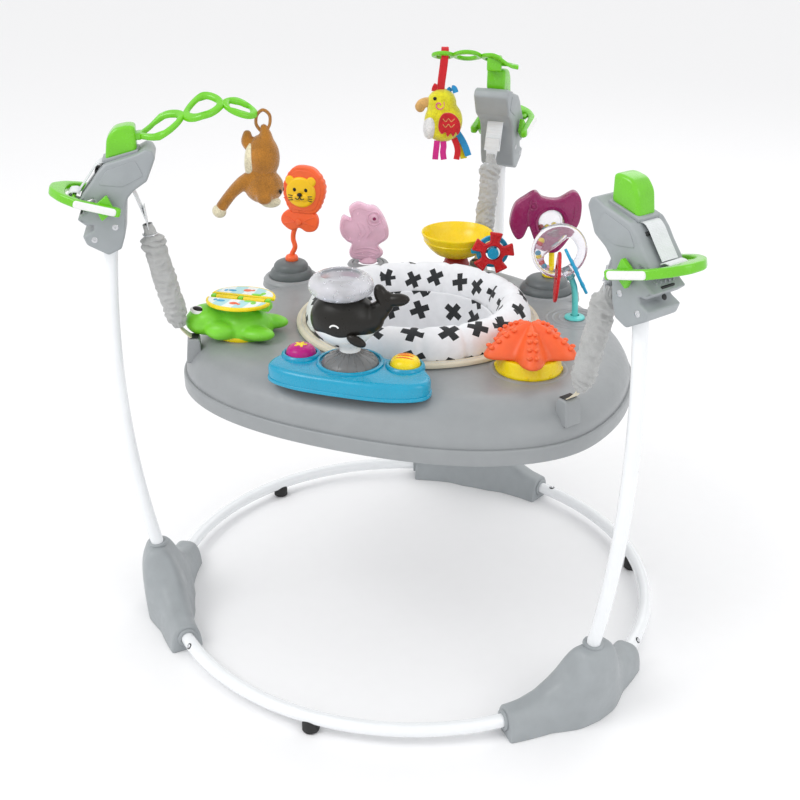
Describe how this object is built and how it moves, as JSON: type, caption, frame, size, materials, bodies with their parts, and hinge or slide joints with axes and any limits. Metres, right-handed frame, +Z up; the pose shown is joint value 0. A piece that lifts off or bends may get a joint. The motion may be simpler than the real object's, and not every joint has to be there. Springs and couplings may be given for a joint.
{
  "type": "activity jumper",
  "caption": "Baby jumper with a round floor ring, posts, and a toy tray and turning fabric seat hung on springs",
  "frame": {"origin": "on the floor, under the middle of the footprint", "axes": "+Z up; the console with the two buttons is on the -Y side and the back post on the +Y side"},
  "size_m": [0.9586, 0.9788, 0.8759],
  "materials": {
    "tube_white": "gloss",
    "housing_grey": "fine texture",
    "foot_rubber": "matt",
    "leaf_green": "gloss",
    "webbing_white": "woven",
    "sleeve_grey": "gathered cloth",
    "spring_steel": "bright",
    "tray_grey": "satin",
    "tray_dark": "matt",
    "ring_cream": "satin",
    "seat_white": "printed padded cloth",
    "dome_grey": "satin",
    "lion_orange": "satin",
    "fish_pink": "translucent",
    "toy_yellow": "gloss",
    "toy_red": "gloss",
    "toy_blue": "gloss",
    "toucan_magenta": "gloss",
    "clear_plastic": "clear",
    "starfish_orange": "satin",
    "turtle_green": "satin",
    "button_magenta": "translucent",
    "cone_smoke": "translucent",
    "whale_black": "gloss",
    "monkey_brown": "plush",
    "parrot_yellow": "plush"
  },
  "bodies": {
    "frame": {"base_tube_front": "tube_white", "base_tube_right": "tube_white", "base_tube_left": "tube_white", "rubber_foot_front": "foot_rubber", "rubber_foot_right": "foot_rubber", "rubber_foot_left": "foot_rubber", "foot_housing_left": "housing_grey", "foot_housing_right": "housing_grey", "foot_housing_back": "housing_grey", "post_tube_left": "tube_white", "post_tube_right": "tube_white", "post_tube_back": "tube_white", "head_housing_left": "housing_grey", "head_housing_right": "housing_grey", "head_housing_back": "housing_grey", "toy_plug_left": "leaf_green", "toy_plug_right": "leaf_green", "toy_plug_back": "leaf_green", "toy_arm_left": "leaf_green", "toy_arm_back": "leaf_green", "adjuster_strap_left": "webbing_white", "adjuster_strap_right": "webbing_white", "adjuster_strap_back": "webbing_white", "spring_sleeve_left": "sleeve_grey", "spring_sleeve_right": "sleeve_grey", "spring_sleeve_back": "sleeve_grey", "suspension_spring_left": "spring_steel", "suspension_spring_right": "spring_steel", "suspension_spring_back": "spring_steel"},
    "handle_left": {"height_handle_left": "leaf_green"},
    "handle_right": {"height_handle_right": "leaf_green"},
    "handle_back": {"height_handle_back": "leaf_green"},
    "tray": {"tray_top": "tray_grey", "tray_underside": "tray_dark", "console": "toy_blue", "bowl_base": "toy_red", "bowl": "toy_yellow", "spinner_ring": "toy_blue", "lion_dome": "dome_grey", "toucan_dome": "dome_grey", "starfish_disc": "toy_yellow", "turtle_body": "turtle_green", "whale_cone": "cone_smoke"},
    "seat": {"seat_ring": "ring_cream", "seat_fabric": "seat_white"},
    "lion": {"lion_toy": "lion_orange"},
    "fish": {"fish_toy": "fish_pink"},
    "toucan": {"toucan_toy": "toucan_magenta"},
    "rattle": {"ring_rattle": "clear_plastic"},
    "paddle_red": {"paddle_red": "toy_red"},
    "paddle_blue": {"paddle_blue": "toy_blue"},
    "star_spinner": {"spinner_star": "toy_red"},
    "starfish": {"starfish": "starfish_orange"},
    "page_front": {"turtle_page_front": "toy_yellow"},
    "page_back": {"turtle_page_back": "toy_yellow"},
    "button_left": {"button_magenta": "button_magenta"},
    "button_right": {"button_yellow": "toy_yellow"},
    "whale": {"whale_toy": "whale_black"},
    "monkey": {"monkey_plush": "monkey_brown"},
    "parrot": {"parrot_plush": "parrot_yellow"}
  },
  "joints": [
    {"name": "handle_left_tilt", "type": "hinge", "parent": "frame", "child": "handle_left", "pos_m": [-0.40184, -0.2879, 0.732], "axis": [0.5, -0.866, 0], "range_deg": [-30, 20]},
    {"name": "handle_right_tilt", "type": "hinge", "parent": "frame", "child": "handle_right", "pos_m": [0.40184, -0.2879, 0.732], "axis": [0.5, 0.866, 0], "range_deg": [-30, 20]},
    {"name": "handle_back_tilt", "type": "hinge", "parent": "frame", "child": "handle_back", "pos_m": [0, 0.4081, 0.732], "axis": [-1, 0, 0], "range_deg": [-30, 20]},
    {"name": "tray_bounce", "type": "slide", "parent": "frame", "child": "tray", "axis": [0, 0, 1], "range_m": [-0.1, 0.03], "stiffness_N_per_m": 1300, "springref_m": 0.02486, "deforming": ["spring_sleeve_left", "suspension_spring_left", "spring_sleeve_right", "suspension_spring_right", "spring_sleeve_back", "suspension_spring_back"]},
    {"name": "seat_spin", "type": "hinge", "parent": "tray", "child": "seat", "pos_m": [0, -0.0279, 0.511], "axis": [0, 0, 1], "continuous": true},
    {"name": "lion_rock", "type": "hinge", "parent": "tray", "child": "lion", "pos_m": [-0.28901, 0.09527, 0.53595], "axis": [-0.0872, 0.9962, 0], "range_deg": [-12, 12], "stiffness_Nm_per_rad": 2, "springref_deg": -0.39},
    {"name": "fish_spin", "type": "hinge", "parent": "tray", "child": "fish", "pos_m": [-0.192, 0.2191, 0.50435], "axis": [0, 0, 1], "continuous": true},
    {"name": "toucan_rock", "type": "hinge", "parent": "tray", "child": "toucan", "pos_m": [0.16164, 0.19697, 0.53175], "axis": [-0.3746, 0.9272, 0], "range_deg": [-12, 12], "stiffness_Nm_per_rad": 2.5, "springref_deg": 0.22},
    {"name": "rattle_rock", "type": "hinge", "parent": "tray", "child": "rattle", "pos_m": [0.236, 0.0811, 0.50435], "axis": [-0.3746, 0.9272, 0], "range_deg": [-12, 12], "stiffness_Nm_per_rad": 1.5, "springref_deg": 0.45},
    {"name": "paddle_red_swing", "type": "hinge", "parent": "rattle", "child": "paddle_red", "pos_m": [0.2054, 0.06874, 0.58335], "axis": [0.9266, 0.3744, -0.0349], "range_deg": [-30, 30]},
    {"name": "paddle_blue_swing", "type": "hinge", "parent": "rattle", "child": "paddle_blue", "pos_m": [0.22951, 0.07848, 0.59235], "axis": [0.8187, 0.3308, 0.4695], "range_deg": [-30, 30]},
    {"name": "star_spinner_spin", "type": "hinge", "parent": "tray", "child": "star_spinner", "pos_m": [0.0556, 0.19982, 0.55835], "axis": [-0.3746, 0.9272, 0], "continuous": true},
    {"name": "starfish_spin", "type": "hinge", "parent": "tray", "child": "starfish", "pos_m": [0.221, -0.1449, 0.52835], "axis": [0, 0, 1], "continuous": true},
    {"name": "page_front_turn", "type": "hinge", "parent": "tray", "child": "page_front", "pos_m": [-0.24658, -0.18588, 0.56235], "axis": [-0.9945, -0.1045, 0], "range_deg": [0, 85]},
    {"name": "page_back_turn", "type": "hinge", "parent": "tray", "child": "page_back", "pos_m": [-0.24742, -0.17792, 0.56235], "axis": [0.9945, 0.1045, 0], "range_deg": [0, 85]},
    {"name": "button_left_press", "type": "slide", "parent": "tray", "child": "button_left", "axis": [0, 0, -1], "range_m": [0, 0.004], "stiffness_N_per_m": 400, "springref_m": -0.002},
    {"name": "button_right_press", "type": "slide", "parent": "tray", "child": "button_right", "axis": [0, 0, -1], "range_m": [0, 0.004], "stiffness_N_per_m": 400, "springref_m": -0.002},
    {"name": "whale_spin", "type": "hinge", "parent": "tray", "child": "whale", "pos_m": [-0.011, -0.2819, 0.54435], "axis": [0, 0, 1], "continuous": true},
    {"name": "monkey_swing", "type": "hinge", "parent": "frame", "child": "monkey", "pos_m": [-0.19366, -0.16853, 0.846], "axis": [-0.3746, 0.9272, 0], "range_deg": [-25, 25]},
    {"name": "parrot_swing", "type": "hinge", "parent": "frame", "child": "parrot", "pos_m": [-0.09, 0.3241, 0.86], "axis": [-0.3746, 0.9272, 0], "range_deg": [-8, 25]}
  ]
}
